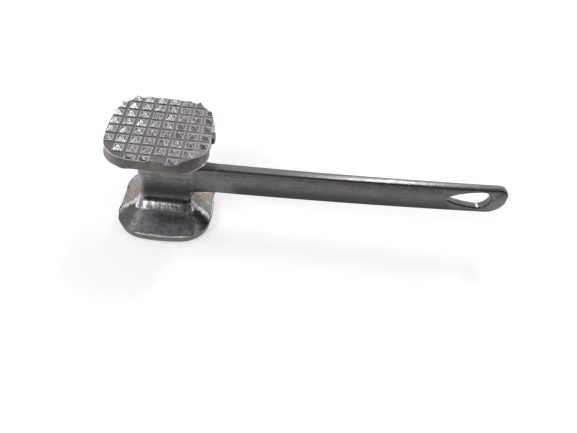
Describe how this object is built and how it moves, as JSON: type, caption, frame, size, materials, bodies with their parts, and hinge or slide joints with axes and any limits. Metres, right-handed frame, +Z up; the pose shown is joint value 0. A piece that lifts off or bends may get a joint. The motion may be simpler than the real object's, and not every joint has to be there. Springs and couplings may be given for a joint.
{
  "type": "meat mallet",
  "caption": "One-piece cast meat mallet with a toothed striking pad at each end of a flat waist and a bar handle that ends in a teardrop hanging hole.",
  "frame": {"origin": "centre of the lower striking face, in the plane of its tooth tips", "axes": "+Z up through both striking pads, +X along the handle towards its hanging hole, +Y square to the parting plane"},
  "size_m": [0.2415, 0.058, 0.0684],
  "materials": {
    "satin_aluminium": "satin, lightly brushed along the handle",
    "polished_aluminium": "polished, dulled by use",
    "cast_aluminium": "as cast, rough"
  },
  "bodies": {
    "root": {"lower_pad": "polished_aluminium", "upper_pad": "satin_aluminium", "waist": "polished_aluminium", "handle_root": "satin_aluminium", "handle_bar": "satin_aluminium", "hanging_eye": "satin_aluminium", "coarse_teeth": "cast_aluminium", "fine_teeth": "cast_aluminium", "gate_stub": "cast_aluminium"}
  },
  "joints": []
}
